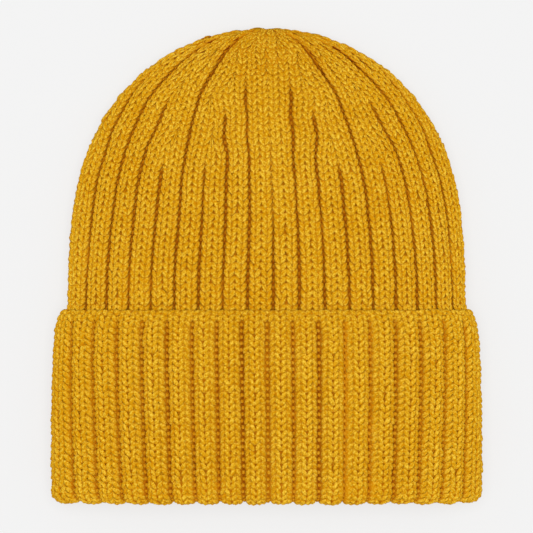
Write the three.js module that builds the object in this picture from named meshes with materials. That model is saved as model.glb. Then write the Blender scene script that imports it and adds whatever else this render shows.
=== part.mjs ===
// Ribbed knit beanie with a turned-up cuff, lying flat on its back.
// Millimetres, +Z up. The crown points to +Y, the mouth to -Y, and the seam runs up the front centre.
// The two solids are the crown, whose wall runs down inside the cuff to the rim, and the turned-up cuff.

import * as THREE from 'three';

const hatLength = 231.5; // rim to crown tip
const cuffTop = 95; // height of the turned-up cuff above the rim
const shoulder = 98; // where the sides begin to close in
const bodyHalfWidth = 97;
const rimFlare = 3; // how much wider each side is at the rim, under the cuff
const wall = 4.6; // knitted wall, crest of a rib to the inner face
const cuffThickness = 4.9;
const gap = 0.4; // between the crown and the cuff
const weltGap = 1.6; // the cuff's top edge stands a little off the crown
const grooveDepth = 2.1;
const scallop = 1.6; // how far the ribs reach past the grooves at the rim
const press = 0.8; // how far the fabric is pressed flat where it rests

const ribCount = 36;
const quarter = ribCount / 4;
const yarn = new THREE.Color(0.8, 0.5, 0.03);

// Heights of the knitted sheet: the side fold, the upper layer and the lower layer.
const heights = {
  underCuff: { side: 15, upper: 25, lower: 4.9 },
  open: { side: 12.5, upper: 28.5, lower: 0 },
  tipDrop: 3,
};

// Courses of knitting from the cuff's top edge to the gathered tip. Down the front centre they crowd
// together towards the tip, while at the side folds they stay even.
const courseTotal = 46;
const centreCrowding = 0.17;

// How the ribs spread over the flat sheet, as the rib pitch at the centre over the mean pitch.
const spreads = { rim: 1.045, cuffTop: 1.1, body: 1.15, shoulder: 1.1, crown: 1.04, tip: 0.95 };

// How far the ribs of the upper layer are drawn to the right.
const drift = { rim: 1.5, cuffTop: 0, body: 3.2, tip: 0 };

// Where each stage of the crown shaping begins and ends, in courses.
const stages = [
  { from: 18, to: 25 },
  { from: 26, to: 31 },
  { from: 31, to: 36 },
];

// A wide wedge has four ribs and a narrow one three. Each row is one rib, from the wedge's inner edge.
// share is the rib's width before the shaping and after each stage, and grooveEnds is the course
// where the groove on its outer side runs out.
const lasting = Infinity;
const wideWedge = [
  { share: [1, 1, 1, 0.25], grooveEnds: 31 },
  { share: [1, 1, 0.5, 0.25], grooveEnds: 27 },
  { share: [1, 0.5, 0.25, 0.25], grooveEnds: 20 },
  { share: [1, 0.5, 0.25, 0.25], grooveEnds: lasting },
];
const narrowWedge = [
  { share: [1, 0.5, 0.33, 0.33], grooveEnds: 20 },
  { share: [1, 0.5, 0.33, 0.33], grooveEnds: 28 },
  { share: [1, 1, 0.33, 0.33], grooveEnds: lasting },
];
const halfRound = [wideWedge, narrowWedge, wideWedge, narrowWedge, wideWedge];

// Each rib has four columns of vertices: its groove, two shoulders and the crest between them.
const ribColumns = [
  { across: 0, depth: 1 },
  { across: 0.16, depth: 0.16 },
  { across: 0.5, depth: 0 },
  { across: 0.84, depth: 0.16 },
];
const columns = ribCount * ribColumns.length;

const { clamp, lerp, smoothstep } = THREE.MathUtils;

// Half width of the body at height y above the rim.
function halfWidth(y) {
  if (y < shoulder) {
    return bodyHalfWidth + rimFlare * (1 - (y / shoulder) ** 4);
  }
  const t = (y - shoulder) / (hatLength - shoulder);
  return bodyHalfWidth * Math.sqrt(Math.max(0, 1 - t ** 2.6));
}

// How full the sheet still is near the tip, from 1 down to 0.
function fullness(y, sharpness) {
  const t = clamp((y - shoulder) / (hatLength - shoulder), 0, 1);
  return Math.sqrt(Math.max(0, 1 - t ** sharpness));
}

// The rib pitch at the centre over the mean pitch, for a height and one of the two layers.
function spreadAt(y, onCuff) {
  if (onCuff || y < 84) return lerp(spreads.rim, spreads.cuffTop, clamp(y / cuffTop, 0, 1));
  const body = lerp(spreads.body, spreads.shoulder, smoothstep(y, 100, 150));
  const crown = lerp(spreads.crown, spreads.tip, smoothstep(y, 195, 215));
  const shown = lerp(body, crown, smoothstep(y, 150, 195));
  return lerp(spreads.cuffTop, shown, smoothstep(y, 84, 95));
}

function driftAt(y, onCuff) {
  if (onCuff || y < 84) return lerp(drift.rim, drift.cuffTop, clamp(y / cuffTop, 0, 1));
  return lerp(drift.body, drift.tip, smoothstep(y, 130, 225)) * smoothstep(y, 84, 95);
}

// A point of the folded sheet. around counts ribs from the front centre: 9 is the right fold, 18 the
// back. grow moves the point outwards. The cuff keeps its own spread of ribs above the hidden overlap.
function sheetPoint(around, y, grow = 0, onCuff = false) {
  const open = smoothstep(y, 90, 130);
  const turn = THREE.MathUtils.euclideanModulo(around, ribCount);
  const front = turn <= quarter || turn >= 3 * quarter;
  const signed = front ? (turn <= quarter ? turn : turn - ribCount) : 2 * quarter - turn;
  const s = Math.abs(signed) / quarter;
  const wide = halfWidth(y);

  const spread = spreadAt(y, onCuff);
  const flatness = onCuff || y < 84 ? 9 : lerp(9, 3, smoothstep(y, 84, 95));
  const even = spread * s - (spread - 1) * s ** flatness;
  const drawn = front ? (driftAt(y, onCuff) / Math.max(wide, 20)) * (1 - s ** 4) : 0;
  const across = Math.sign(signed) * even + drawn;

  const power = lerp(2.7, 2.3, open);
  const lift = Math.max(0, 1 - Math.abs(across) ** power) ** (1 / power);
  const side = lerp(heights.underCuff.side, heights.open.side, open)
    - heights.tipDrop * smoothstep(y, 150, hatLength);
  const upper = lerp(heights.underCuff.upper, heights.open.upper, open);
  const lower = lerp(heights.underCuff.lower, heights.open.lower, open) - press;
  const rise = front ? (upper - side) * fullness(y, 3) : (side - lower) * fullness(y, 5);
  const thicker = Math.max(grow, -0.45 * rise);
  const wider = Math.max(grow, -0.45 * wide);
  return new THREE.Vector3((wide + wider) * across, y, side + (front ? 1 : -1) * (rise + thicker) * lift);
}

// Height above the rim reached after so many courses, measured along the fabric.
function courseHeight(around, course) {
  const steps = 60;
  const top = hatLength - cuffTop;
  const heightAt = (step) => cuffTop + top * Math.sin(((step / steps) * Math.PI) / 2);
  const lengths = [0];
  let last = sheetPoint(around, cuffTop);
  for (let i = 1; i <= steps; i++) {
    const next = sheetPoint(around, heightAt(i));
    lengths.push(lengths[i - 1] + next.distanceTo(last));
    last = next;
  }
  const fromFront = Math.abs(around - ribCount * Math.round(around / ribCount)) / quarter;
  const side = Math.min(fromFront, 2 - fromFront);
  const done = course / courseTotal;
  const wanted = lengths[steps] * done * (1 + centreCrowding * (1 - side ** 2) * (1 - done ** 4));
  let i = 1;
  while (i < steps && lengths[i] < wanted) i++;
  const part = (wanted - lengths[i - 1]) / (lengths[i] - lengths[i - 1]);
  return heightAt(i - 1 + clamp(part, 0, 1));
}

// The share of its wedge that a rib still has at a course.
function shareAt(rib, course) {
  return stages.reduce(
    (share, stage, i) => lerp(share, rib.share[i + 1], smoothstep(course, stage.from, stage.to)),
    rib.share[0],
  );
}

// Edges of all ribs at a course, counted in ribs round the hat, and how deep the groove there is.
function ribEdges(course) {
  const right = [{ around: 0, depth: 1 }];
  let start = 0;
  for (const wedge of halfRound) {
    const shares = wedge.map((rib) => shareAt(rib, course));
    const whole = shares.reduce((a, b) => a + b, 0);
    let taken = 0;
    wedge.forEach((rib, i) => {
      taken += shares[i];
      const depth = rib.grooveEnds === lasting
        ? 1
        : 1 - smoothstep(course, rib.grooveEnds - 1.5, rib.grooveEnds + 1);
      right.push({ around: start + (wedge.length * taken) / whole, depth });
    });
    start += wedge.length;
  }
  const left = right.slice(1, -1).reverse().map((e) => ({ ...e, around: ribCount - e.around }));
  return [...right, ...left, { around: ribCount, depth: 1 }];
}

// One vertex's place round the hat and its share of the groove's depth.
function ribVertex(edges, column) {
  const rib = Math.floor(column / ribColumns.length);
  const { across, depth } = ribColumns[column % ribColumns.length];
  const groove = across === 0 ? edges[rib].depth : Math.max(edges[rib].depth, edges[rib + 1].depth);
  return { around: lerp(edges[rib].around, edges[rib + 1].around, across), depth: depth * groove };
}

function restOnTable(point) {
  point.z = Math.max(point.z, 0);
  return point;
}

// A ring of vertices round the hat. place gives each column's point.
function ring(count, place) {
  return Array.from({ length: count }, (_, i) => place(i));
}

// The same ring run the other way round, from the same first vertex.
function backwards(vertices) {
  return [vertices[0], ...vertices.slice(1).reverse()];
}

// Triangles between two rings. The second has as many vertices as the first, or half as many.
function bridge(triangles, from, to) {
  const ratio = from.length / to.length;
  to.forEach((near, i) => {
    const far = to[(i + 1) % to.length];
    const a = from[i * ratio];
    const b = from[(i * ratio + 1) % from.length];
    triangles.push(a, b, near);
    triangles.push(b, far, near);
    if (ratio === 2) triangles.push(b, from[(i * ratio + 2) % from.length], far);
  });
}

function closeWithPole(triangles, rim, pole) {
  rim.forEach((vertex, i) => triangles.push(vertex, rim[(i + 1) % rim.length], pole));
}

function solidMesh(name, triangles) {
  const geometry = new THREE.BufferGeometry().setFromPoints(triangles);
  geometry.computeVertexNormals();
  const material = new THREE.MeshStandardMaterial({ color: yarn, roughness: 0.95, metalness: 0 });
  const mesh = new THREE.Mesh(geometry, material);
  mesh.name = name;
  return mesh;
}

// The crown: a ribbed cup from the rim, up inside the cuff, over the wedges to the gathered tip.
// It is smooth where the cuff hides it.
function makeCrown() {
  const hiddenHeights = [5, 50, 84, 95];
  const shownCourses = [1, 8, 15, 20, 24, 28, 31, 34, 37, 39.5, 41.5, 43.3, 44.8];
  const innerCourses = [6, 15, 24, 31, 37, 41.5, 44];

  const outerRing = (edges, depth, heightOf) => ring(columns, (i) => {
    const vertex = ribVertex(edges, i);
    return restOnTable(sheetPoint(vertex.around, heightOf(vertex.around), -vertex.depth * depth));
  });
  const outer = hiddenHeights.map((y) => outerRing(ribEdges(0), y < cuffTop ? 0 : grooveDepth, () => y));
  for (const course of shownCourses) {
    const depth = grooveDepth * (1 - 0.8 * smoothstep(course, 36, courseTotal));
    outer.push(outerRing(ribEdges(course), depth, (around) => courseHeight(around, course)));
  }

  // the inner face stops short of the tip by the wall's thickness
  const innerPoint = (around, y) => {
    const point = sheetPoint(around, y, -wall);
    point.y -= wall * clamp((y - cuffTop) / (hatLength - cuffTop), 0, 1);
    return point;
  };
  const innerColumns = columns / 2;
  const innerRing = (heightOf) => ring(innerColumns, (i) => {
    const around = (i / innerColumns) * ribCount;
    return innerPoint(around, heightOf(around));
  });
  const inner = hiddenHeights.map((y) => innerRing(() => y));
  for (const course of innerCourses) {
    inner.push(innerRing((around) => courseHeight(around, course)));
  }

  const triangles = [];
  outer.slice(1).forEach((above, i) => bridge(triangles, outer[i], above));
  closeWithPole(triangles, outer.at(-1), sheetPoint(0, hatLength));
  inner.slice(1).forEach((above, i) => bridge(triangles, above, inner[i]));
  closeWithPole(triangles, backwards(inner.at(-1)), innerPoint(0, hatLength));
  bridge(triangles, backwards(outer[0]), backwards(inner[0]));
  return solidMesh('crown', triangles);
}

// The cuff: a band that turns under the crown's rim and up outside it to a soft welt. out is the
// distance outside the crown's wall, up the height above the rim, relief the share of the groove's
// depth, and scallop the share of the rim's scallops.
function makeCuff() {
  const section = [
    { out: -wall, up: 4.6, relief: 0, scallop: 0 },
    { out: -wall + 0.5, up: 2.2, relief: 0, scallop: 0.3 },
    { out: -1.6, up: 0, relief: 0, scallop: 1 },
    { out: 2.2, up: 0.5, relief: 0.4, scallop: 1 },
    { out: 4.3, up: 3.4, relief: 0.9, scallop: 0.6 },
    { out: cuffThickness, up: 9, relief: 1, scallop: 0 },
    { out: cuffThickness, up: 36, relief: 1, scallop: 0 },
    { out: cuffThickness, up: 66, relief: 1, scallop: 0 },
    { out: 4.6, up: 86, relief: 0.9, scallop: 0 },
    { out: 4, up: 91.5, relief: 0.35, scallop: 0 },
    { out: 2.9, up: 94.4, relief: 0, scallop: 0 },
    { out: weltGap, up: cuffTop, relief: 0, scallop: 0 },
    { out: gap, up: 84, relief: 0, scallop: 0 },
    { out: gap, up: 50, relief: 0, scallop: 0 },
    { out: gap, up: 4.6, relief: 0, scallop: 0 },
  ];
  const edges = ribEdges(0).map((edge, i) => ({ ...edge, depth: i % ribCount === 0 ? 0.45 : 1 }));
  const rings = section.map((place) =>
    ring(columns, (i) => {
      const { around, depth } = ribVertex(edges, i);
      const y = place.up + scallop * place.scallop * depth;
      return restOnTable(sheetPoint(around, y, place.out - grooveDepth * place.relief * depth, true));
    }));
  const triangles = [];
  rings.forEach((vertices, i) => bridge(triangles, vertices, rings[(i + 1) % rings.length]));
  return solidMesh('cuff', triangles);
}

const beanie = new THREE.Group();
beanie.name = 'ribbed_beanie';
beanie.add(makeCrown(), makeCuff());

// The origin is under the middle of the hat, on the surface that it lies on.
const box = new THREE.Box3().setFromObject(beanie);
const middle = box.getCenter(new THREE.Vector3());
beanie.position.set(-middle.x, -middle.y, -box.min.z);

export default beanie;
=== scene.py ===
import math

import bpy
import numpy as np
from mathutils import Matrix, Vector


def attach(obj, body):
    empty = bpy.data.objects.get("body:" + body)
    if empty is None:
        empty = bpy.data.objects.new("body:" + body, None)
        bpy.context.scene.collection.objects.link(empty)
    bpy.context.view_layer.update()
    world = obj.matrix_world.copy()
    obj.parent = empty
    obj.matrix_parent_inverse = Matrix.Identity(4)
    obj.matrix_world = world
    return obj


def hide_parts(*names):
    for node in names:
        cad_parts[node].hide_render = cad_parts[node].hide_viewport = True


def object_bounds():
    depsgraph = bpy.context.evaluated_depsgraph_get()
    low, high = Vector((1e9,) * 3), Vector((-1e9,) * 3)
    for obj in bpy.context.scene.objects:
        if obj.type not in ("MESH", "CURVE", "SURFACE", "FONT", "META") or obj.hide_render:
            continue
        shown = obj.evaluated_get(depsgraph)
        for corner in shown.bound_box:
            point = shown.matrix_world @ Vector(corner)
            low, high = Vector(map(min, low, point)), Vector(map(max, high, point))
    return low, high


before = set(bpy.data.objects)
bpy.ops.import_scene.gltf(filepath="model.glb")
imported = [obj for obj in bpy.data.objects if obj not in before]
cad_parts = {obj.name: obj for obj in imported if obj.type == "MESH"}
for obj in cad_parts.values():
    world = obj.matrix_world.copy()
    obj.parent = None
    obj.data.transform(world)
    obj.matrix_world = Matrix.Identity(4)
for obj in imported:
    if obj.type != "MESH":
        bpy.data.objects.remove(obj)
cadLow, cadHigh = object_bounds()
print("frame loaded", cadLow, cadHigh)

mm = 0.001  # the form below is in millimetres, the scene in metres


# the form of the hat, close to that of the solids

hat = {
    "length": 231.8,  # rim to tip
    "cuffTop": 95.0,
    "shoulder": 98.0,  # where the sides begin to close in
    "closing": 2.84,  # how late they close, as a power
    "halfWidth": 97.0,
    "rimFlare": 3.2,
    "wall": 4.6,
    "grooveDepth": 2.1,
    "ribs": 36,
    "side": (15.0, 12.5),  # height of the folds, under the cuff and above it
    "upper": (25.0, 28.5),  # of the front
    "lower": (4.9, 0.0),  # of the back
    "sectionPower": (2.7, 2.3),  # how square the section is, likewise
    "crowding": (9.0, 3.0),  # how near the folds the ribs crowd together, likewise
    "leftTighter": 0.027,  # the ribs to the left of the middle lie closer together
    "tipDrop": 3.0,
    "fullness": (3, 5),  # how late the front and the back fall away to the tip
    "driftFrom": 20.0,  # the half width below which the ribs' drift shrinks with it
    "mostInset": 0.45,  # of the width or the thickness there
    "press": 0.8,  # how far the fabric is pressed flat on the floor
    "floorRound": 1.1,  # how gently it turns up from the floor
    "floorDrop": 0.1,  # how far all of it is lowered then
    "courses": 46,  # rows of knitting from the cuff's edge to the tip
    "rowPitch": (3.38, 3.33),  # low on the crown, at its middle and at the folds
    "rowPower": (5.0, 2.4),  # how late the rows crowd together or draw apart above that
    "hiddenPitch": 3.4,  # of the rows below 0, which are hidden in the cuff
}
quarter = hat["ribs"] / 4
highest = hat["length"] - 0.01  # just short of the tip, where the section still has a width

# how much wider than even the ribs lie in the middle, and how far the front's lie to the right
spreads = {"rim": 1.045, "cuffTop": 1.1, "body": 1.15, "shoulder": 1.1, "crown": 1.04, "tip": 0.95}
drift = {"rim": 1.0, "cuffTop": 0.2, "body": 3.2, "tip": 0.0}

# the heights between which one stage of the form turns into the next
stages = {
    "edge": (84, 95),  # from what the cuff hides to what shows
    "cleared": (90, 130),  # from the thickness under the cuff to that above it
    "body": (100, 150),
    "crown": (150, 195),
    "tip": (195, 215),
    "drift": (130, 225),
}


def mix(a, b, t):
    return a + (b - a) * t


def ease(value, low, high):
    t = np.clip((value - low) / (high - low), 0, 1)
    return t * t * (3 - 2 * t)


def halfWidthAt(y):
    below = hat["halfWidth"] + hat["rimFlare"] * (1 - (y / hat["shoulder"]) ** 4)
    t = np.clip((y - hat["shoulder"]) / (hat["length"] - hat["shoulder"]), 0, 1)
    above = hat["halfWidth"] * np.sqrt(np.clip(1 - t ** hat["closing"], 0, 1))
    return np.where(y < hat["shoulder"], below, above)


def fullnessAt(y, sharpness):
    t = np.clip((y - hat["shoulder"]) / (hat["length"] - hat["shoulder"]), 0, 1)
    return np.sqrt(np.clip(1 - t**sharpness, 0, 1))


def spreadAt(y, onCuff):
    hidden = mix(spreads["rim"], spreads["cuffTop"], np.clip(y / hat["cuffTop"], 0, 1))
    body = mix(spreads["body"], spreads["shoulder"], ease(y, *stages["body"]))
    crown = mix(spreads["crown"], spreads["tip"], ease(y, *stages["tip"]))
    above = mix(body, crown, ease(y, *stages["crown"]))
    shown = mix(spreads["cuffTop"], above, ease(y, *stages["edge"]))
    return np.where(onCuff | (y < stages["edge"][0]), hidden, shown)


def driftAt(y, onCuff):
    hidden = mix(drift["rim"], drift["cuffTop"], np.clip(y / hat["cuffTop"], 0, 1))
    shown = mix(drift["body"], drift["tip"], ease(y, *stages["drift"])) * ease(y, *stages["edge"])
    return np.where(onCuff | (y < stages["edge"][0]), hidden, shown)


# a point of the plain form, grow millimetres outside it; around counts ribs from the front centre,
# so that 9 is the right fold and 18 the back
def sheetPoint(around, y, grow=0.0, onCuff=False):
    around, y, grow = np.broadcast_arrays(*[np.asarray(v, float) for v in (around, y, grow)])
    cleared = ease(y, *stages["cleared"])
    turn = np.mod(around, hat["ribs"])
    front = (turn <= quarter) | (turn >= 3 * quarter)
    signed = np.where(front, np.where(turn <= quarter, turn, turn - hat["ribs"]), 2 * quarter - turn)
    s = np.abs(signed) / quarter
    wide = halfWidthAt(y)
    spread = spreadAt(y, onCuff) - hat["leftTighter"] * (signed < 0)
    hidden = onCuff | (y < stages["edge"][0])
    crowding = np.where(hidden, hat["crowding"][0], mix(*hat["crowding"], ease(y, *stages["edge"])))
    even = spread * s - (spread - 1) * s**crowding
    drawn = np.where(front, driftAt(y, onCuff) / np.maximum(wide, hat["driftFrom"]) * (1 - s**4), 0)
    across = np.sign(signed) * even + drawn
    power = mix(*hat["sectionPower"], cleared)
    lift = np.clip(1 - np.abs(across) ** power, 0, 1) ** (1 / power)
    side = mix(*hat["side"], cleared) - hat["tipDrop"] * ease(y, stages["crown"][0], hat["length"])
    upper = mix(*hat["upper"], cleared)
    lower = mix(*hat["lower"], cleared) - hat["press"]
    above, below = (fullnessAt(y, sharpness) for sharpness in hat["fullness"])
    rise = np.where(front, (upper - side) * above, (side - lower) * below)
    thicker = np.maximum(grow, -hat["mostInset"] * rise)
    wider = np.maximum(grow, -hat["mostInset"] * wide)
    z = side + np.where(front, 1, -1) * (rise + thicker) * lift
    return np.stack([(wide + wider) * across, y, z], -1)


# metres, with the rim on the solids' own low edge and what rests pressed flat on the floor
def toScene(points):
    placed = points * mm
    placed[..., 1] += cadLow[1]
    soft = hat["floorRound"] * mm
    z = placed[..., 2]
    placed[..., 2] = 0.5 * (z + np.sqrt(z * z + soft * soft)) - hat["floorDrop"] * mm
    return placed


# rows of knitting follow the fabric, so a table turns a row into a height above the rim

tableSteps = {"perRib": 4, "perRow": 4, "heights": 400}


def makeRowTable():
    arounds = np.linspace(0, hat["ribs"], hat["ribs"] * tableSteps["perRib"] + 1)
    rows = np.linspace(0, hat["courses"], hat["courses"] * tableSteps["perRow"] + 1)
    steps = np.sin(np.linspace(0, math.pi / 2, tableSteps["heights"]))
    heights = hat["cuffTop"] + (hat["length"] - hat["cuffTop"]) * steps
    points = sheetPoint(arounds[:, None], heights[None, :])
    lengths = np.cumsum(np.linalg.norm(np.diff(points, axis=1), axis=2), axis=1)
    lengths = np.concatenate([np.zeros((len(arounds), 1)), lengths], axis=1)
    fromFront = np.abs(arounds - hat["ribs"] * np.round(arounds / hat["ribs"])) / quarter
    side = np.minimum(fromFront, 2 - fromFront)[:, None]
    done = (rows / hat["courses"])[None, :]
    even = mix(*hat["rowPitch"], side) * hat["courses"]
    wanted = even * done + (lengths[:, -1:] - even) * done ** mix(*hat["rowPower"], side)
    table = np.array([np.interp(w, l, heights) for w, l in zip(wanted, lengths)])
    return arounds, rows, table


tableAround, tableRows, rowTable = makeRowTable()


def rowHeight(around, row):
    a = np.mod(around, hat["ribs"]) * tableSteps["perRib"]
    i = np.clip(a.astype(int), 0, len(tableAround) - 2)
    fa = a - i
    r = np.clip(row, 0, hat["courses"]) / (tableRows[1] - tableRows[0])
    j = np.clip(r.astype(int), 0, len(tableRows) - 2)
    fr = r - j
    low = mix(rowTable[i, j], rowTable[i + 1, j], fa)
    high = mix(rowTable[i, j + 1], rowTable[i + 1, j + 1], fa)
    return mix(low, high, fr) + np.minimum(row, 0) * hat["hiddenPitch"]


def unit(v):
    return v / np.maximum(np.linalg.norm(v, axis=-1, keepdims=True), 1e-9)


# a point of the crown's fabric: sink lowers the surface and lean tips its normal over the rib
def crownPoint(around, row, height=0.0, sink=0.0, lean=0.0):
    up, aside = 0.25, 0.03  # small steps in millimetres and in ribs, which give the slopes
    y = rowHeight(around, row)
    base = sheetPoint(around, y)
    alongRib = sheetPoint(around, np.minimum(y + up, highest)) - sheetPoint(around, y - up)
    acrossRib = sheetPoint(around + aside, y) - sheetPoint(around - aside, y)
    t = unit(acrossRib)
    n = unit(np.cross(t, alongRib))
    tilted = unit(n - np.asarray(lean)[..., None] * t)
    return base + np.asarray(sink)[..., None] * n + np.asarray(height)[..., None] * tilted


# the ribs and the shaping of the crown

# a wedge's columns and grooves from its inner edge, each with the row where it runs out; two columns
# of each wedge and the grooves between the wedges reach the tip
lasting = math.inf
wedges = {
    "wide": {"columnEnds": (lasting, 41, 43, 34, 38, 24, 30, lasting), "grooveEnds": (33, 29, 21)},
    "narrow": {"columnEnds": (lasting, 25, 38, 32, 42, lasting), "grooveEnds": (21, 30)},
}
halfRound = ("wide", "narrow", "wide", "narrow", "wide")
knitShare, purlShare = 0.49, 0.02  # of a rib's width, for one knit column and for the groove
ribPitch = 12.0  # millimetres
laneRows = np.linspace(-4, hat["courses"], 201)
shaping = {
    "columnEnd": (2.5, 1.5),  # rows before and after its end over which a column narrows away
    "grooveEnd": (1.5, 1.0),  # the same for a groove's depth
    "gapePeriod": (20, 45),  # rows
    "gape": 1.25,  # of the groove's share, on average
    "seamFades": ((0.3, 6, 16), (0.7, 16, 30)),  # the front centre's groove fades in two steps
    "tipRows": (42, 45.5),  # where the last grooves become shallower
    "tipShallower": 0.5,
}


def runsOut(end, before, after):
    return 1 - ease(laneRows, end - before, end + after) if end < lasting else np.ones_like(laneRows)


def makeLane(kind, share, end=lasting, opened=0.0):
    width = share * runsOut(end, *shaping["columnEnd"])
    depth = opened * runsOut(end, *shaping["grooveEnd"])
    return {"kind": kind, "share": width, "open": depth, "end": end}


# the grooves gape in places and are nearly shut in others
def gape(random):
    period, phase = random.uniform(*shaping["gapePeriod"]), random.uniform(0, 1)
    return shaping["gape"] + np.sin(2 * np.pi * (laneRows / period + phase))


# the lanes of one wedge from its inner edge, each with its share of the width at every row
def wedgeLanes(wedge, start, random):
    opened = 1.0
    if start == 0:
        for part, low, high in shaping["seamFades"]:
            opened = opened - part * ease(laneRows, low, high)
    lanes = [makeLane("half", purlShare / 2 * opened * gape(random), opened=opened)]
    for i, end in enumerate(wedge["columnEnds"]):
        lanes.append(makeLane("knit", knitShare, end))
        if i % 2 and i // 2 < len(wedge["grooveEnds"]):
            there = float(start + (i + 1) / 2 != quarter)  # the groove on the fold is pulled flat
            share = purlShare * gape(random) * there
            lanes.append(makeLane("purl", share, wedge["grooveEnds"][i // 2], opened=there))
    lanes.append(makeLane("half", purlShare / 2 * gape(random), opened=1.0))
    return lanes


# the lanes of half the hat, with their edges at every row in ribs from the front centre
def halfLanes(random):
    half = []
    start = 0
    for name in halfRound:
        lanes = wedgeLanes(wedges[name], start, random)
        ribs = len(wedges[name]["columnEnds"]) // 2
        total = sum(lane["share"] for lane in lanes)
        taken = np.zeros_like(laneRows)
        for i, lane in enumerate(lanes):
            lane["low"] = start + ribs * taken / total
            taken = taken + lane["share"]
            lane["high"] = start + ribs * taken / total
            lane["openLow"] = lanes[i - 1]["open"] if i else 0 * laneRows
            lane["openHigh"] = lanes[i + 1]["open"] if i < len(lanes) - 1 else 0 * laneRows
        half += lanes
        start += ribs
    return half


def makeLanes():
    random = np.random.default_rng(2)
    left = [{
        **lane,
        "low": hat["ribs"] - lane["high"], "high": hat["ribs"] - lane["low"],
        "openLow": lane["openHigh"], "openHigh": lane["openLow"],
    } for lane in reversed(halfLanes(random))]
    lanes = halfLanes(random) + left
    for lane in lanes:
        lane["open"] = lane["open"] * (1 - shaping["tipShallower"] * ease(laneRows, *shaping["tipRows"]))
    knits = [lane for lane in lanes if lane["kind"] == "knit"]
    purls = [lane for lane in lanes if lane["kind"] == "purl"]
    halves = [lane for lane in lanes if lane["kind"] == "half"]
    halves = halves[1:] + halves[:1]  # each pair of halves is one groove that runs to the tip
    for a, b in zip(halves[::2], halves[1::2]):
        wraps = b["high"][0] < a["low"][0]
        purls.append({**a, "kind": "purl", "high": b["high"] + hat["ribs"] * wraps})
    return knits, purls


knitLanes, purlLanes = makeLanes()
print("lanes:", len(knitLanes), "knit,", len(purlLanes), "purl")


def isFront(lane):
    middle = (lane["low"][0] + lane["high"][0]) / 2 % hat["ribs"]
    return middle < quarter or middle > 3 * quarter


def laneEdge(lanes, key, index, row):
    table = np.array([lane[key] for lane in lanes])
    step = laneRows[1] - laneRows[0]
    r = np.clip((row - laneRows[0]) / step, 0, len(laneRows) - 1.001)
    j = r.astype(int)
    return mix(table[index, j], table[index, j + 1], r - j)


knitColumn = {
    "edge": 0.5,  # of its width from its middle, the furthest its stitches reach beside a groove
    "openAt": (0.5, 0.8),  # how open a groove is when they begin to keep off it, and when they fully do
    "fall": 0.75,  # of the groove's depth, how far it falls away beside a groove
    "reach": 0.7,  # of its width, how far in it begins to fall
}


# a column's stitches don't reach over an open groove
def keepOffGroove(u, openLow, openHigh, edge):
    low = mix(-1, -edge, ease(openLow, *knitColumn["openAt"]))
    high = mix(1, edge, ease(openHigh, *knitColumn["openAt"]))
    return np.clip(u, low, high)


# how far a knit column falls away towards the grooves beside it, and its slope
def columnFall(u, openLow, openHigh, width, reach):
    drop = knitColumn["fall"] * hat["grooveDepth"]
    low = np.clip(1 - (u + 0.5) / reach, 0, 1)
    high = np.clip(1 - (0.5 - u) / reach, 0, 1)
    sink = -drop * (openLow * low**2 + openHigh * high**2)
    lean = 2 * drop * (openLow * low - openHigh * high) / reach / width
    return sink, lean


# one stitch, and flat swatches of it

stitch = {
    "column": 5.5,  # nominal width of a knit column
    "row": 3.3,
    "foot": (0.25, -2.2),
    "belly": (1.32, 0.1),
    "head": (2.35, 2.35),
    "halfWidth": 1.24,
    "halfHeight": 0.88,
    "depth": (-1.0, -0.58, -0.98),  # of the foot, the belly and the head below the surface
    "bluntness": 2.5,
    "ringSpread": 0.15,  # how evenly the rings lie along the leg
    "sides": 6,
    "rings": 7,
    "jitter": 0.16,  # millimetres
    "size": (1.05, 0.05),  # of the nominal width, on average and how much it varies
}


def clean(name, obj):
    obj.name = name
    obj.data.name = name
    bpy.ops.object.select_all(action="DESELECT")
    return obj


def readPoints(obj):
    flat = np.empty(len(obj.data.vertices) * 3)
    obj.data.vertices.foreach_get("co", flat)
    return flat.reshape(-1, 3)


def writePoints(obj, points):
    obj.data.vertices.foreach_set("co", np.ascontiguousarray(points, float).ravel())
    obj.data.update()


# one leg of a stitch: a sphere drawn out along a bent path, in millimetres
def makeLeg(name, mirrored):
    bpy.ops.object.select_all(action="DESELECT")
    bpy.ops.mesh.primitive_uv_sphere_add(segments=stitch["sides"], ring_count=stitch["rings"], radius=1)
    leg = clean(name, bpy.context.object)
    ball = readPoints(leg)
    high = np.minimum(np.abs(ball[:, 2]), 0.999)
    ball[:, :2] *= np.sqrt((1 - high ** stitch["bluntness"]) / (1 - high**2))[:, None]
    t = (ball[:, 2] + 1) / 2
    spread = stitch["ringSpread"]
    t = 0.5 - 0.5 * np.cos(np.pi * (spread + (1 - 2 * spread) * t)) / math.cos(np.pi * spread)
    foot, belly, head = (np.array(stitch[k]) for k in ("foot", "belly", "head"))
    a, b, c = ((1 - t) ** 2)[:, None], (2 * t * (1 - t))[:, None], (t**2)[:, None]
    middle = 2 * belly - 0.5 * (foot + head)
    centre = a * foot + b * middle + c * head
    along = unit(2 * (1 - t)[:, None] * (middle - foot) + 2 * t[:, None] * (head - middle))
    d0, d1, d2 = stitch["depth"]
    depth = a[:, 0] * d0 + b[:, 0] * (2 * d1 - 0.5 * (d0 + d2)) + c[:, 0] * d2
    points = np.empty_like(ball)
    points[:, 0] = centre[:, 0] + along[:, 1] * ball[:, 0] * stitch["halfWidth"]
    points[:, 1] = centre[:, 1] - along[:, 0] * ball[:, 0] * stitch["halfWidth"]
    points[:, 2] = depth + ball[:, 1] * stitch["halfHeight"]
    if mirrored:
        points[:, 0] *= -1
    writePoints(leg, points)
    return leg


def pick(*objs):
    bpy.ops.object.select_all(action="DESELECT")
    for obj in objs:
        obj.select_set(True)
    bpy.context.view_layer.objects.active = objs[0]


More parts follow.
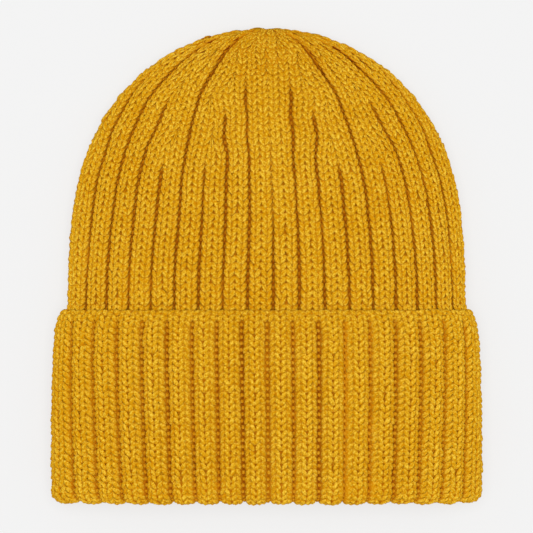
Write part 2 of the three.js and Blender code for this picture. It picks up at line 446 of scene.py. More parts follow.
def repeat(obj, count, step):
    pick(obj)
    copies = obj.modifiers.new("repeat", "ARRAY")
    copies.count = count
    copies.use_relative_offset = False
    copies.use_constant_offset = True
    copies.constant_offset_displace = step
    bpy.ops.object.modifier_apply(modifier=copies.name)


# faces pointing outwards and shaded smooth
def finishFaces(obj):
    pick(obj)
    bpy.ops.object.mode_set(mode="EDIT")
    bpy.ops.mesh.select_all(action="SELECT")
    bpy.ops.mesh.normals_make_consistent(inside=False)
    bpy.ops.object.mode_set(mode="OBJECT")
    bpy.ops.object.shade_smooth()
    bpy.ops.object.select_all(action="DESELECT")


def makeStitch(name):
    legs = [makeLeg("legRight", False), makeLeg("legLeft", True)]
    pick(*legs)
    bpy.ops.object.join()
    return clean(name, legs[0])


# a flat swatch of so many columns and rows of one piece, in millimetres, wrapped round the hat later
def makeSwatch(one, columns, rows):
    finishFaces(one)
    repeat(one, rows, (0, stitch["row"], 0))
    repeat(one, columns, (stitch["column"], 0, 0))
    return one


# each vertex's column, row, and place within its stitch; every stitch has the same number of vertices
def stitchOfVertices(obj, columns, rows):
    points = readPoints(obj)
    each = len(points) // (columns * rows)
    index = np.arange(len(points)) // each
    column, row = index // rows, index % rows
    u = (points[:, 0] - column * stitch["column"]) / stitch["column"]
    v = (points[:, 1] - row * stitch["row"]) / stitch["row"]
    return column, row, u, v, points[:, 2], index


def addAttribute(obj, name, values):
    layer = obj.data.attributes.new(name, "FLOAT", "POINT")
    layer.data.foreach_set("value", np.ascontiguousarray(values, np.float32))


# painted shade on the yarn, for the shade that falls between the stitches and down in the grooves: 0 on a
# stitch's crest, towards 1 between the stitches or down in a groove

paintedShading = {
    "crest": 0.15,  # millimetres above the surface, where it begins
    "depth": 1.8,  # millimetres from there down to where it is full
    "gaps": 0.6,  # its strength between the stitches
    "middleGaps": 0.8,  # and how much more that is in the middle of a rib
    "middle": (0.2, 0.48),  # of a column's width from its own middle, where that begins and is full
    "power": 1.2,
    "groove": (0.12, 0.4),  # for each millimetre that a stitch is sunk, low on the crown and near the tip
    "edge": 0.12,  # more for the legs beside an open groove
    "edgeFrom": 0.3,  # of a column's width past its middle, where that begins
}


# painted shade of each point of a stitch, from its height, its sink and how near it lies to a rib's
# middle or an open groove
def paintedShadeAt(height, sink, u, openLow, openHigh, inGroove):
    toMiddle = np.maximum(u * (1 - openHigh), -u * (1 - openLow))
    gaps = paintedShading["gaps"] + paintedShading["middleGaps"] * ease(toMiddle, *paintedShading["middle"])
    start = paintedShading["edgeFrom"]
    toGroove = np.maximum(openLow * (start - u), openHigh * (start + u))
    edge = paintedShading["edge"] * np.clip(toGroove / (start + 0.5), 0, 1)
    down = gaps * (paintedShading["crest"] - height) / paintedShading["depth"] - inGroove * sink
    return np.clip(down, 0, 1) ** paintedShading["power"] + edge


def deleteWhere(obj, mask):
    if not mask.any():
        return
    pick(obj)
    bpy.ops.object.mode_set(mode="EDIT")
    bpy.ops.mesh.select_mode(type="VERT")
    bpy.ops.object.mode_set(mode="OBJECT")
    obj.data.polygons.foreach_set("select", np.zeros(len(obj.data.polygons), bool))
    obj.data.edges.foreach_set("select", np.zeros(len(obj.data.edges), bool))
    obj.data.vertices.foreach_set("select", mask)
    bpy.ops.object.mode_set(mode="EDIT")
    bpy.ops.mesh.delete(type="VERT")
    bpy.ops.object.mode_set(mode="OBJECT")
    bpy.ops.object.select_all(action="DESELECT")


# the crown's knit stitches

crownKnit = {
    "firstRow": -1,
    "rows": 47,
    "late": (22, 36),  # rows over which the last grooves become sharp and their painted shade stronger
    "lateReach": 0.4,  # of a column's width, how far in it begins to fall there
    "gathered": (31, 41),  # rows over which the knitting puckers towards the tip
    "rumple": (1.4, 1.4, 0.5),  # how much further the stitches shift there
    "puckerShade": (-0.3, 1.8),  # how much stronger the painted shade in the yarn's depths is there, from least to most
    "leastWidth": 0.8,  # millimetres of a column
    "leastSize": 0.35,  # of a stitch where its column narrows
    "shrinkPower": 0.6,
    "shortOfTip": 0.12,  # rows
}


def makeCrownStitches(name, lanes, seed):
    columns, rows = len(lanes), crownKnit["rows"]
    swatch = makeSwatch(makeStitch(name), columns, rows)
    column, row, u, v, height, index = stitchOfVertices(swatch, columns, rows)
    random = np.random.default_rng(seed)
    count = columns * rows
    wobble = random.normal(0, stitch["jitter"], (count, 3))
    size = random.normal(*stitch["size"], count)
    gathered = ease(row, *crownKnit["gathered"])
    wobble = wobble[index] * (1 + np.outer(gathered, crownKnit["rumple"]))
    course = row + crownKnit["firstRow"] + v + 0.5 * wobble[:, 1] / stitch["row"]
    low = laneEdge(lanes, "low", column, course)
    high = laneEdge(lanes, "high", column, course)
    openLow, openHigh = (laneEdge(lanes, key, column, course) for key in ("openLow", "openHigh"))
    u = u * size[index] + wobble[:, 0] / stitch["column"]
    u = keepOffGroove(u, openLow, openHigh, knitColumn["edge"])
    around = mix(low, high, u + 0.5)
    width = np.maximum((high - low) * ribPitch, crownKnit["leastWidth"])
    late = ease(course, *crownKnit["late"])
    reach = mix(knitColumn["reach"], crownKnit["lateReach"], late)
    sink, lean = columnFall(u, openLow, openHigh, width, reach)
    share = (high - low) / (knitShare * 0.95)  # of the full width, with a little slack
    shrink = np.clip(share, crownKnit["leastSize"], 1) ** crownKnit["shrinkPower"]
    lifted = (height + wobble[:, 2]) * shrink
    course = np.minimum(course, hat["courses"] - crownKnit["shortOfTip"])
    points = crownPoint(around, course, lifted, sink * shrink, lean)
    writePoints(swatch, toScene(points))
    addAttribute(swatch, "tone", random.uniform(0, 1, count)[index])
    # painted shade, stronger or weaker at random for each stitch where the knitting puckers
    puckerShade = 1 + gathered * random.uniform(*crownKnit["puckerShade"], count)[index]
    paintedShade = paintedShadeAt(height, sink, u, openLow, openHigh, mix(*paintedShading["groove"], late))
    addAttribute(swatch, "paintedShade", paintedShade * puckerShade)
    ends = np.array([lane["end"] for lane in lanes])[column]
    deleteWhere(swatch, row + crownKnit["firstRow"] > np.minimum(ends, hat["courses"] - 1))
    return swatch


# the purl columns, which show as bumps at the bottom of each groove

purl = {
    "halfWidth": 1.0,
    "halfLength": 1.25,
    "halfHeight": 0.95,
    "depth": (0.8, 2.8),  # below the surface, in a groove that is shut and in one that is open
    "openFrom": 0.1,  # how open a groove is when the bumps begin to sink
    "dark": (0.1, 0.65),  # painted shade in a groove that is shut, and how much more when open
    "lastRow": 34,
    "shortOfTip": 0.35,  # rows
    "leastSize": 0.5,
    "leastPitch": 2,  # millimetres to a rib
    "sides": 6,
    "rings": 4,
}


def makeBump(name):
    bpy.ops.object.select_all(action="DESELECT")
    bpy.ops.mesh.primitive_uv_sphere_add(segments=purl["sides"], ring_count=purl["rings"], radius=1)
    bump = clean(name, bpy.context.object)
    ball = readPoints(bump)
    size = (purl["halfWidth"], purl["halfLength"], purl["halfHeight"])
    writePoints(bump, ball[:, (2, 0, 1)] * size)  # the poles point across the groove
    return bump


def makeCrownPurls(name, lanes, seed):
    columns, rows = len(lanes), crownKnit["rows"]
    swatch = makeSwatch(makeBump(name), columns, rows)
    column, row, u, v, height, index = stitchOfVertices(swatch, columns, rows)
    random = np.random.default_rng(seed)
    wobble = random.normal(0, stitch["jitter"], (columns * rows, 3))
    course = row + crownKnit["firstRow"] + v
    low = laneEdge(lanes, "low", column, course)
    high = laneEdge(lanes, "high", column, course)
    opened = laneEdge(lanes, "open", column, course)
    shrink = np.clip((high - low) / purlShare, purl["leastSize"], 1)
    middle = (low + high) / 2
    course = np.minimum(course, hat["courses"] - purl["shortOfTip"])
    tenthOfRib = crownPoint(middle + 0.05, course) - crownPoint(middle - 0.05, course)
    pitch = np.maximum(np.linalg.norm(tenthOfRib, axis=-1) * 10, purl["leastPitch"])
    around = middle + (u * stitch["column"] * shrink + wobble[index, 0]) / pitch
    sink = -mix(*purl["depth"], ease(opened, purl["openFrom"], 1))
    points = crownPoint(around, course, height * shrink + wobble[index, 2], sink)
    writePoints(swatch, toScene(points))
    addAttribute(swatch, "tone", random.uniform(0, 1, columns * rows)[index])
    # painted shade on the bumps down in the groove
    shut, more = purl["dark"]
    addAttribute(swatch, "paintedShade", shut + more * opened)
    ends = np.array([lane["end"] for lane in lanes])[column]
    deleteWhere(swatch, row + crownKnit["firstRow"] > np.minimum(ends, purl["lastRow"]))
    return swatch


frontKnits = [lane for lane in knitLanes if isFront(lane)]
backKnits = [lane for lane in knitLanes if not isFront(lane)]
rightKnits = [lane for lane in frontKnits if lane["low"][0] < quarter]
leftKnits = [lane for lane in frontKnits if lane["low"][0] > quarter]
halfBack = len(backKnits) // 2
crownKnits = [makeCrownStitches(name, lanes, seed) for name, lanes, seed in (
    ("crown_right_stitches", rightKnits, 3),
    ("crown_left_stitches", leftKnits, 4),
    ("crown_back_right_stitches", backKnits[:halfBack], 9),
    ("crown_back_left_stitches", backKnits[halfBack:], 10),
)]
crownPurls = makeCrownPurls("crown_purl_stitches", purlLanes, 5)
print("crown stitches done")


# the cuff's section: out from the crown's wall and up from the rim, from the welt down, round the
# fold at the rim and a little way up inside

cuff = {
    "welt": ((1.1, 95.0), (2.5, 93.2), (3.6, 90.0), (4.3, 86.0), (4.6, 80.0)),
    "foldCentre": (0.0, 7.6),
    "foldReach": (4.6, 6.5),
    "insideTo": 17.0,
    "row": 3.08,
    "rows": 37,
    "firstRow": 1.6,  # millimetres below the welt's edge
    "edgeGap": 0.2,  # the least distance of the yarn from that edge
    "edge": 0.53,  # as for the crown's columns
    "seamOpen": 0.8,  # the front groove is shallower on the cuff
    "grooveExtra": 0.03,  # the cuff's grooves are wider than the crown's, in ribs on each side
    "ribbed": (2.5, 8.5),  # down from the welt's edge, where the ribs begin
    "insideRibs": 0.7,  # how deep the grooves are inside the rim
    "insideFrom": (88, 108),
    "rimFrom": (82, 86),  # down from the welt's edge, where the fold at the rim begins and ends
    "rimTo": (96, 100),
    "thinWelt": (-2, 3),  # where the fabric under the stitches reaches its full depth below them
    "purlDepth": (0.75, 2.35),  # these three as for the crown's purl bumps
    "purlOpenFrom": 0.25,
    "purlShade": (0.1, 0.5),
}


def cuffSection():
    angles = np.linspace(0, math.pi, 40)
    cx, cy = cuff["foldCentre"]
    rx, ry = cuff["foldReach"]
    fold = [(cx + rx * math.cos(a), cy - ry * math.sin(a)) for a in angles]
    corners = np.array([*cuff["welt"], *fold, (cx - rx, cuff["insideTo"])])
    lengths = np.concatenate([[0], np.cumsum(np.linalg.norm(np.diff(corners, axis=0), axis=1))])
    at = np.arange(0, lengths[-1], 0.25)
    path = np.stack([np.interp(at, lengths, corners[:, i]) for i in range(2)], -1)
    along = np.gradient(path, axis=0)
    for _ in range(8):  # rounds the corners of the normals
        along[1:-1] = (along[:-2] + along[1:-1] + along[2:]) / 3
    along /= np.linalg.norm(along, axis=1, keepdims=True)
    return at, path, np.stack([-along[:, 1], along[:, 0]], -1)


sectionAt, sectionPath, sectionNormal = cuffSection()


def cuffPoint(around, down, height=0.0, sink=0.0, lean=0.0):
    out, up = (np.interp(down, sectionAt, sectionPath[:, i]) for i in range(2))
    nOut, nUp = (np.interp(down, sectionAt, sectionNormal[:, i]) for i in range(2))
    rise = height + sink
    turned = around - lean * height / ribPitch
    return sheetPoint(turned, up + nUp * rise, out + nOut * rise, True)


# the share of the groove's depth: none on the welt, less inside the rim
def reliefAt(down):
    return ease(down, *cuff["ribbed"]) * mix(1, cuff["insideRibs"], ease(down, *cuff["insideFrom"]))


def cuffLane(lanes, key, column):
    return np.array([lane[key][0] for lane in lanes])[column]


def makeCuffStitches(name, lanes, seed):
    columns, rows = len(lanes), cuff["rows"]
    swatch = makeSwatch(makeStitch(name), columns, rows)
    column, row, u, v, height, index = stitchOfVertices(swatch, columns, rows)
    random = np.random.default_rng(seed)
    count = columns * rows
    wobble = random.normal(0, stitch["jitter"], (count, 3))
    size = random.normal(*stitch["size"], count)
    down = cuff["firstRow"] + (row + v) * cuff["row"] + 0.5 * wobble[index, 1]
    low, high = cuffLane(lanes, "low", column), cuffLane(lanes, "high", column)
    openLow = cuffLane(lanes, "openLow", column) * reliefAt(down)
    openHigh = cuffLane(lanes, "openHigh", column) * reliefAt(down)
    u = u * size[index] + wobble[index, 0] / stitch["column"]
    u = keepOffGroove(u, openLow, openHigh, cuff["edge"])
    sink, lean = columnFall(u, openLow, openHigh, (high - low) * ribPitch, knitColumn["reach"])
    low, high = low + openLow * cuff["grooveExtra"], high - openHigh * cuff["grooveExtra"]
    around = mix(low, high, u + 0.5)
    points = cuffPoint(around, np.maximum(down, cuff["edgeGap"]), height + wobble[index, 2], sink, lean)
    writePoints(swatch, toScene(points))
    finishFaces(swatch)  # its rows run downwards, which turned it inside out
    addAttribute(swatch, "tone", random.uniform(0, 1, count)[index])
    # painted shade between the stitches and beside the grooves
    addAttribute(swatch, "paintedShade", paintedShadeAt(height, sink, u, openLow, openHigh, paintedShading["groove"][0]))
    return swatch


def makeCuffPurls(name, lanes, seed):
    columns, rows = len(lanes), cuff["rows"]
    swatch = makeSwatch(makeBump(name), columns, rows)
    column, row, u, v, height, index = stitchOfVertices(swatch, columns, rows)
    random = np.random.default_rng(seed)
    wobble = random.normal(0, stitch["jitter"], (columns * rows, 3))
    down = np.maximum(cuff["firstRow"] + (row + v) * cuff["row"], cuff["edgeGap"])
    middle = (cuffLane(lanes, "low", column) + cuffLane(lanes, "high", column)) / 2
    opened = reliefAt(down) * np.where(middle > hat["ribs"] - 0.5, cuff["seamOpen"], 1)
    around = middle + (u * stitch["column"] + wobble[index, 0]) / ribPitch
    sink = -mix(*cuff["purlDepth"], ease(opened, cuff["purlOpenFrom"], 1))
    points = cuffPoint(around, down, height + wobble[index, 2], sink)
    writePoints(swatch, toScene(points))
    finishFaces(swatch)
    addAttribute(swatch, "tone", random.uniform(0, 1, columns * rows)[index])
    # painted shade on the bumps down in the groove, as for the crown's
    shut, more = cuff["purlShade"]
    addAttribute(swatch, "paintedShade", shut + more * opened)
    return swatch


cuffFront = makeCuffStitches("cuff_front_stitches", frontKnits, 6)
cuffBack = makeCuffStitches("cuff_back_stitches", backKnits, 7)
cuffPurls = makeCuffPurls("cuff_purl_stitches", purlLanes, 8)
print("cuff stitches done")


# the fabric under the stitches: closed walls that follow the same ribs

fabric = {
    "across": 8,  # points to a rib
    "bunching": 0.7,  # how much closer together they lie near the grooves
    "grooveWidth": 0.4,  # in ribs, to each side
    "under": 1.1,  # below the ribs' crests
    "hiddenUnder": 0.9,  # the same where the cuff hides the crown
    "shownFrom": (-4, -1),  # rows over which the crown comes out of the cuff
    "edgeFill": 0.45,  # the part of that depth which is filled at the folds, where the edge shows
    "edgeWidth": (0.15, 0.9),  # ribs from the left or right fold, over which the filling ends
    "tipRows": (33, 43),  # where the fabric comes nearer to the surface again
    "tipNearer": 0.6,
    "tipSink": 0.3,  # of the depth under the stitches, at the tip itself
    "hiddenInner": 2.6,  # the wall is thin where it runs inside the cuff's rim
    "thickFrom": (18, 26),  # the heights between which it reaches its full thickness
    "tipWall": 0.5,  # how much thicker it is at the tip
    "gap": 0.35,  # between the cuff and the crown
    "rimRow": -26.2,  # the crown's lowest row, at the rim
    "shortOfTip": 0.6,  # rows
    "weld": 0.02,  # millimetres within which points are merged
    "plainShade": 0.4,  # its painted shade on a rib, where it shows between the stitches
    "middleShade": 0.8,  # painted shade in the middle of one
    "middleFades": (18, 30),  # rows over which the middle becomes as pale as the rest
    "grooveShade": 0.55,  # how much more painted shade it has in a groove
}


# how much of the depth under the stitches is filled near the left and right folds
def edgeFillAt(arounds):
    away = np.abs(np.mod(arounds, 2 * quarter) - quarter)
    return fabric["edgeFill"] * (1 - ease(away, *fabric["edgeWidth"]))


# where the fabric's points lie round the hat at one row, following the grooves
def fabricArounds(row):
    index = np.arange(len(purlLanes))
    row = np.full(len(index), float(row))
    middle = (laneEdge(purlLanes, "low", index, row) + laneEdge(purlLanes, "high", index, row)) / 2
    middle = np.sort(middle)
    middle = np.append(middle, middle[0] + hat["ribs"])
    at = np.arange(fabric["across"] * hat["ribs"] + 1) / fabric["across"]
    groove = np.minimum(at.astype(int), hat["ribs"] - 1)
    part = at - groove
    part -= fabric["bunching"] * np.sin(2 * np.pi * part) / (2 * np.pi)
    return mix(middle[groove], middle[groove + 1], part)


# a grid bent round the hat: place gives the points of one row, and shade their painted shade
def wrapGrid(name, rowCount, place, shade):
    across = fabric["across"] * hat["ribs"]
    bpy.ops.object.select_all(action="DESELECT")
    bpy.ops.mesh.primitive_grid_add(x_subdivisions=across, y_subdivisions=rowCount - 1, size=2)
    grid = clean(name, bpy.context.object)
    flat = readPoints(grid)
    i = np.round((flat[:, 0] + 1) / 2 * across).astype(int)
    j = np.round((flat[:, 1] + 1) / 2 * (rowCount - 1)).astype(int)
    rows = np.array([place(k) for k in range(rowCount)])
    writePoints(grid, toScene(rows[j, i]))
    addAttribute(grid, "paintedShade", np.array([shade(k) for k in range(rowCount)])[j, i])
    pick(grid)
    bpy.ops.object.mode_set(mode="EDIT")
    bpy.ops.mesh.select_all(action="SELECT")
    bpy.ops.mesh.remove_doubles(threshold=fabric["weld"] * mm)
    bpy.ops.mesh.delete_loose()
    bpy.ops.object.mode_set(mode="OBJECT")
    finishFaces(grid)
    return grid


# the groove's depth round the hat at one row, from the purl lanes there: 1 at the bottom of a groove
def grooveAt(arounds, row, seamOpen=1.0):
    depth = np.zeros_like(arounds)
    index = np.arange(len(purlLanes))
    row = np.full(len(index), float(row))
    low, high, opened = (laneEdge(purlLanes, key, index, row) for key in ("low", "high", "open"))
    for middle, share, part in zip((low + high) / 2, high - low, opened):
        away = np.abs((arounds - middle + hat["ribs"] / 2) % hat["ribs"] - hat["ribs"] / 2)
        if abs(middle - hat["ribs"]) < 0.1:
            part = part * seamOpen
        width = fabric["grooveWidth"] * np.clip(share / purlShare, 0.2, 1)
        depth = np.maximum(depth, part * np.clip(1 - away / width, 0, 1) ** 2)
    return depth


# painted shade of the fabric along one row, which shows between the stitches; late is 1 where the middle
# of a rib is no darker than the rest
def fabricShade(groove, late=0.0):
    at = np.arange(len(groove)) % fabric["across"]
    plain = fabric["plainShade"]
    middle = np.where(at == fabric["across"] // 2, mix(fabric["middleShade"], plain, late), plain)
    return np.maximum(middle, plain + fabric["grooveShade"] * groove)


# rows up the outside to the tip, then down the inside and round the rim to the first one
def makeCrownFabric(name):
    first, last = fabric["rimRow"], hat["courses"] - fabric["shortOfTip"]
    outer = [first, -20, -12, -6, -3, -1, *np.arange(0, last, 1.0), last]
    inner = [last, *np.arange(44, 0, -2.0), -1, -6, -12, -20, -21, first]
    tip = sheetPoint(0, highest)

    def innerRow(row):
        arounds = fabricArounds(row)
        y = rowHeight(arounds, np.full_like(arounds, row))
        inset = mix(fabric["hiddenInner"], hat["wall"], ease(y, *fabric["thickFrom"]))
        point = sheetPoint(arounds, y, -inset)
        towardsTip = np.clip((y - hat["cuffTop"]) / (hat["length"] - hat["cuffTop"]), 0, 1)
        point[..., 1] -= hat["wall"] * towardsTip
        return point

    def place(k):
        row = outer[min(k, len(outer) - 1)]
        arounds = fabricArounds(row)
        if k < len(outer):
            shown = ease(row, *fabric["shownFrom"])
            under = mix(fabric["hiddenUnder"], fabric["under"], shown) * (1 - edgeFillAt(arounds))
            sink = hat["grooveDepth"] * grooveAt(arounds, row) * shown + under
            sink = sink * (1 - fabric["tipNearer"] * ease(row, *fabric["tipRows"]))
            return crownPoint(arounds, np.full_like(arounds, row), -sink)
        if k == len(outer):
            return np.repeat([tip - (0, fabric["tipSink"] * fabric["under"], 0)], len(arounds), axis=0)
        if k == len(outer) + 1:
            return np.repeat([tip - (0, hat["wall"] + fabric["tipWall"], 0)], len(arounds), axis=0)
        if k < len(outer) + 2 + len(inner):
            return innerRow(inner[k - len(outer) - 2])
        return place(0)

    def shade(k):
        row = outer[min(k, len(outer) - 1)]
        return fabricShade(grooveAt(fabricArounds(row), row), ease(row, *fabric["middleFades"]))

    return wrapGrid(name, len(outer) + len(inner) + 3, place, shade)


# rows down the cuff, closer together at the welt and round the rim, and then back between the cuff
# and the crown, out and up as in the section
def makeCuffFabric(name):
    downs = [*np.arange(0.5, 12, 1.5), *np.arange(12, 86, 4.0), *np.arange(86, sectionAt[-1], 1.6)]
    back = [(-2.85, 16.5), (-2.85, 6.0), (-2.2, 4.2), (0, 4.2), (fabric["gap"], 6.0)]
    back += [(fabric["gap"], y) for y in (20, 40, 60, 84)] + [(1.2, 94.2)]

    arounds = fabricArounds(laneRows[0])
    groove = grooveAt(arounds, laneRows[0], cuff["seamOpen"])

    def place(k):
        if k < len(downs):
            down = np.full_like(arounds, downs[k])
            start, end = ease(down, *cuff["rimFrom"]), 1 - ease(down, *cuff["rimTo"])
            filled = np.maximum(edgeFillAt(arounds), fabric["edgeFill"] * start * end)
            under = fabric["under"] * ease(down, *cuff["thinWelt"]) * (1 - filled)
            return cuffPoint(arounds, down, 0, -hat["grooveDepth"] * groove * reliefAt(down) - under)
        if k < len(downs) + len(back):
            out, up = back[k - len(downs)]
            return sheetPoint(arounds, np.full_like(arounds, up), out, True)
        return place(0)

    def shade(k):
        return fabricShade(groove * reliefAt(downs[k] if k < len(downs) else 0))

    return wrapGrid(name, len(downs) + len(back) + 1, place, shade)


crownFabric = makeCrownFabric("crown_fabric")
cuffFabric = makeCuffFabric("cuff_fabric")
print("fabric done")


# materials

yarn = {
    "base": (0.62, 0.305, 0.001),
    # light is the yarn's paler random tone and also the painted highlight of the specks and the plies'
    # crests
    "light": (0.86, 0.575, 0.05),
    # dark is the yarn's darker random tone and also the painted shade between the stitches and in the
    # grooves
    "dark": (0.56, 0.19, 0.0005),
    "darkest": (0.25, 0.05, 0.0002),  # painted shade at the bottom of the grooves
    "plies": 3.0,  # round a leg
    "twist": 1.0,  # turns along it
    "patches": (28, 3, 0.5),  # scale, detail and roughness of each noise
    "fibres": (1900, 3, 0.7),
    "specks": (1200, 2, 0.6),
    # how far each shifts the colour; the specks are partly the fibres' mottled colour and partly painted
    # glints of sheen, and the plies are painted paler on their crests
    "patchStrength": 0.5,
    "toneStrength": 0.2,
    "plyStrength": 0.35,
    "speckStrength": 4.3,
    "darkestFrom": 0.6,  # of the painted shade, where its darkest tone begins
    "roughness": (0.84, 0.12),  # its least, and how much the fibres add
    "specular": 0.05,
    "sheen": 0.04,
    "sheenRoughness": 0.5,
    "sheenTint": (1.0, 0.7, 0.12),
    "bump": 0.7,
    "bumpDepth": 0.6,  # millimetres
    "plyHeight": 0.6,
}
yarnColours = ("base", "light", "dark", "darkest")


def socket(group, name, kind, inward, value=None):
    made = group.interface.new_socket(name=name, in_out="INPUT" if inward else "OUTPUT", socket_type=kind)
    if value is not None:
        made.default_value = value


def addNode(tree, kind, **settings):
    node = tree.nodes.new(kind)
    for key, value in settings.items():
        setattr(node, key, value)
    return node


def calculate(tree, operation, a, b=None, c=None, clamp=False):
    node = addNode(tree, "ShaderNodeMath", operation=operation, use_clamp=clamp)
    for slot, value in zip(node.inputs, (a, b, c)):
        if value is None:
            continue
        if isinstance(value, (int, float)):
            slot.default_value = value
        else:
            tree.links.new(value, slot)
    return node.outputs[0]


def mixColours(tree, factor, a, b):
    node = addNode(tree, "ShaderNodeMix", data_type="RGBA")
    for slot, value in ((node.inputs[0], factor), (node.inputs[6], a), (node.inputs[7], b)):
        tree.links.new(value, slot)
    return node.outputs[2]


def noise(tree, vector, scale, detail, rough):
    node = addNode(tree, "ShaderNodeTexNoise")
    node.inputs["Scale"].default_value = scale
    node.inputs["Detail"].default_value = detail
    node.inputs["Roughness"].default_value = rough
    tree.links.new(vector, node.inputs["Vector"])
    return node.outputs["Fac"]


# twisted, slightly fuzzy yarn: patches over the whole hat, a tone for each stitch, plies and fibres, with
# painted glints in the specks, painted light on the plies' crests and the mesh's painted shade
def makeYarnGroup():
    group = bpy.data.node_groups.new("twistedYarn", "ShaderNodeTree")
    socket(group, "Place", "NodeSocketVector", True)
    socket(group, "Wrap", "NodeSocketVector", True)
    socket(group, "Tone", "NodeSocketFloat", True, 0.5)
    socket(group, "Painted Shade", "NodeSocketFloat", True, 0.0)
    for name in yarnColours:
        socket(group, name.capitalize(), "NodeSocketColor", True)
    socket(group, "Ply Strength", "NodeSocketFloat", True, 1.0)
    socket(group, "Ply Height", "NodeSocketFloat", True, 1.0)
    socket(group, "Color", "NodeSocketColor", False)
    socket(group, "Height", "NodeSocketFloat", False)
    socket(group, "Roughness", "NodeSocketFloat", False)
    given = addNode(group, "NodeGroupInput").outputs
    out = addNode(group, "NodeGroupOutput").inputs
    link = group.links.new

    noises = ("patches", "fibres", "specks")
    patches, fibres, specks = (noise(group, given["Place"], *yarn[key]) for key in noises)
    split = addNode(group, "ShaderNodeSeparateXYZ")
    link(given["Wrap"], split.inputs[0])
    aroundLeg = calculate(group, "MULTIPLY", split.outputs[0], yarn["plies"])
    alongLeg = calculate(group, "MULTIPLY", split.outputs[1], yarn["twist"])
    turns = calculate(group, "ADD", aroundLeg, alongLeg)
    wave = calculate(group, "SINE", calculate(group, "MULTIPLY", turns, 2 * math.pi))
    wave = calculate(group, "MULTIPLY_ADD", wave, 0.5, 0.5)
    ply = calculate(group, "MULTIPLY", wave, given["Ply Strength"])

    # above 0 the yarn is paler than its base colour, below 0 darker; the plies only add painted light on
    # their crests
    lightness = calculate(group, "MULTIPLY", ply, yarn["plyStrength"])
    shifts = ((patches, "patchStrength"), (given["Tone"], "toneStrength"), (specks, "speckStrength"))
    for value, strength in shifts:
        centred = calculate(group, "SUBTRACT", value, 0.5)
        lightness = calculate(group, "MULTIPLY_ADD", centred, yarn[strength], lightness)
    paler = calculate(group, "MAXIMUM", lightness, 0.0, clamp=True)
    darker = calculate(group, "MULTIPLY", lightness, -1.0, clamp=True)
    colour = mixColours(group, paler, given["Base"], given["Light"])
    colour = mixColours(group, darker, colour, given["Dark"])
    # painted shade between the stitches and in the grooves, darkest at their bottoms
    colour = mixColours(group, given["Painted Shade"], colour, given["Dark"])
    slope = 1 / (1 - yarn["darkestFrom"])
    bottom = calculate(group, "MULTIPLY_ADD", given["Painted Shade"], slope, 1 - slope, clamp=True)
    colour = mixColours(group, bottom, colour, given["Darkest"])
    link(colour, out["Color"])
    link(calculate(group, "MULTIPLY_ADD", ply, given["Ply Height"], fibres), out["Height"])
    least, more = yarn["roughness"]
    link(calculate(group, "MULTIPLY_ADD", fibres, more, least), out["Roughness"])
    return group


yarnGroup = makeYarnGroup()


# attributes names the group's sockets that read a value of the mesh, and the attribute each one reads
def yarnMaterial(name, plyStrength, plyHeight, attributes):
    material = bpy.data.materials.new(name)
    material.use_nodes = True
    tree = material.node_tree
    shader = tree.nodes["Principled BSDF"]
    shader.inputs["Sheen Weight"].default_value = yarn["sheen"]
    shader.inputs["Sheen Roughness"].default_value = yarn["sheenRoughness"]
    shader.inputs["Sheen Tint"].default_value = (*yarn["sheenTint"], 1)
    shader.inputs["Specular IOR Level"].default_value = yarn["specular"]
    group = addNode(tree, "ShaderNodeGroup", node_tree=yarnGroup)
    coordinates = addNode(tree, "ShaderNodeTexCoord")
    tree.links.new(coordinates.outputs["Object"], group.inputs["Place"])
    tree.links.new(coordinates.outputs["UV"], group.inputs["Wrap"])
    for socketName, attributeName in attributes.items():
        attribute = addNode(tree, "ShaderNodeAttribute", attribute_name=attributeName)
        tree.links.new(attribute.outputs["Fac"], group.inputs[socketName])
    for colour in yarnColours:
        group.inputs[colour.capitalize()].default_value = (*yarn[colour], 1)
    group.inputs["Ply Strength"].default_value = plyStrength
    group.inputs["Ply Height"].default_value = plyHeight
    bump = addNode(tree, "ShaderNodeBump")
    bump.inputs["Strength"].default_value = yarn["bump"]
    bump.inputs["Distance"].default_value = yarn["bumpDepth"] * mm
    tree.links.new(group.outputs["Height"], bump.inputs["Height"])
    tree.links.new(group.outputs["Color"], shader.inputs["Base Color"])
    tree.links.new(group.outputs["Roughness"], shader.inputs["Roughness"])
    tree.links.new(bump.outputs["Normal"], shader.inputs["Normal"])
    return material


def dress(obj, material):
    obj.data.materials.clear()
    obj.data.materials.append(material)
    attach(obj, "root")


stitched = {"Tone": "tone", "Painted Shade": "paintedShade"}
stitchYarn = yarnMaterial("mustardStitches", 1.0, yarn["plyHeight"], stitched)
# on the cuff the plies are pressed in instead of standing out
cuffYarn = yarnMaterial("mustardCuff", 1.0, -yarn["plyHeight"], stitched)
fabricYarn = yarnMaterial("mustardFabric", 0.0, 0.0, {"Painted Shade": "paintedShade"})
for piece in (*crownKnits, crownPurls):
    dress(piece, stitchYarn)
for piece in (cuffFront, cuffBack, cuffPurls):
    dress(piece, cuffYarn)
dress(crownFabric, fabricYarn)
dress(cuffFabric, fabricYarn)
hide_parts("crown")
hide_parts("cuff")
print("materials done")


# floor, light and camera

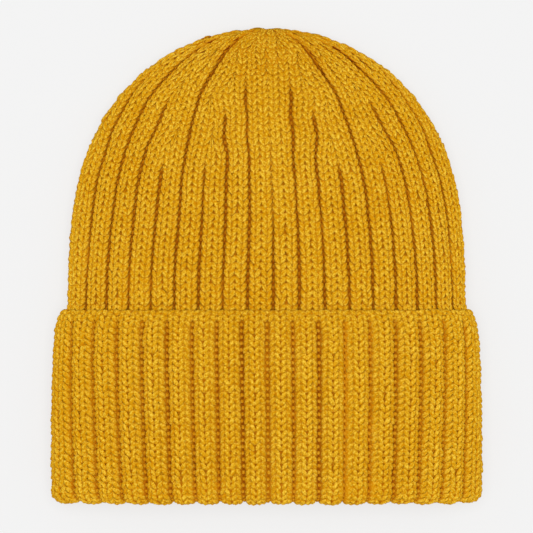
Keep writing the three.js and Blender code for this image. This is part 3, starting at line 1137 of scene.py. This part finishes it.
studio = {
    "floorSize": 6.0,
    "floorColour": (0.2, 0.2, 0.2),
    "floorRoughness": 0.9,
    "floorSpecular": 0.1,
    "floorGlow": 0.645,  # a table lit from below, so that shadows stay faint
    "sky": 0.58,
    "lampAt": (0, 0.05, 1.2),
    "lampSize": 0.9,
    "lampPower": 11.5,
    "photoWidth": 0.2597,  # metres across the photo at the hat's outline
    "outlineHeight": 0.013,
    "lens": 100.0,
    "sensor": 36.0,
    "lookAt": (0.0, -0.0004),
}


def makeStudio():
    bpy.ops.object.select_all(action="DESELECT")
    bpy.ops.mesh.primitive_plane_add(size=studio["floorSize"], location=(0, 0, 0))
    floor = clean("floor", bpy.context.object)
    paint = bpy.data.materials.new("paleFloor")
    paint.use_nodes = True
    shader = paint.node_tree.nodes["Principled BSDF"]
    shader.inputs["Base Color"].default_value = (*studio["floorColour"], 1)
    shader.inputs["Roughness"].default_value = studio["floorRoughness"]
    shader.inputs["Specular IOR Level"].default_value = studio["floorSpecular"]
    shader.inputs["Emission Color"].default_value = (1, 1, 1, 1)
    shader.inputs["Emission Strength"].default_value = studio["floorGlow"]
    floor.data.materials.append(paint)

    world = bpy.data.worlds.new("studio")
    bpy.context.scene.world = world
    world.use_nodes = True
    sky = world.node_tree.nodes["Background"]
    sky.inputs["Color"].default_value = (1, 1, 1, 1)
    sky.inputs["Strength"].default_value = studio["sky"]

    bpy.ops.object.light_add(type="AREA", location=studio["lampAt"])
    lamp = bpy.context.object
    lamp.data.shape = "DISK"
    lamp.data.size = studio["lampSize"]
    lamp.data.energy = studio["lampPower"]

    distance = studio["photoWidth"] * studio["lens"] / studio["sensor"]
    x, y = studio["lookAt"]
    bpy.ops.object.camera_add(location=(x, y, studio["outlineHeight"] + distance), rotation=(0, 0, 0))
    camera = bpy.context.object
    camera.data.lens = studio["lens"]
    camera.data.sensor_width = studio["sensor"]
    camera.data.clip_start = 0.01
    bpy.context.scene.camera = camera
    bpy.context.scene.view_settings.view_transform = "Standard"


makeStudio()
print("studio done")
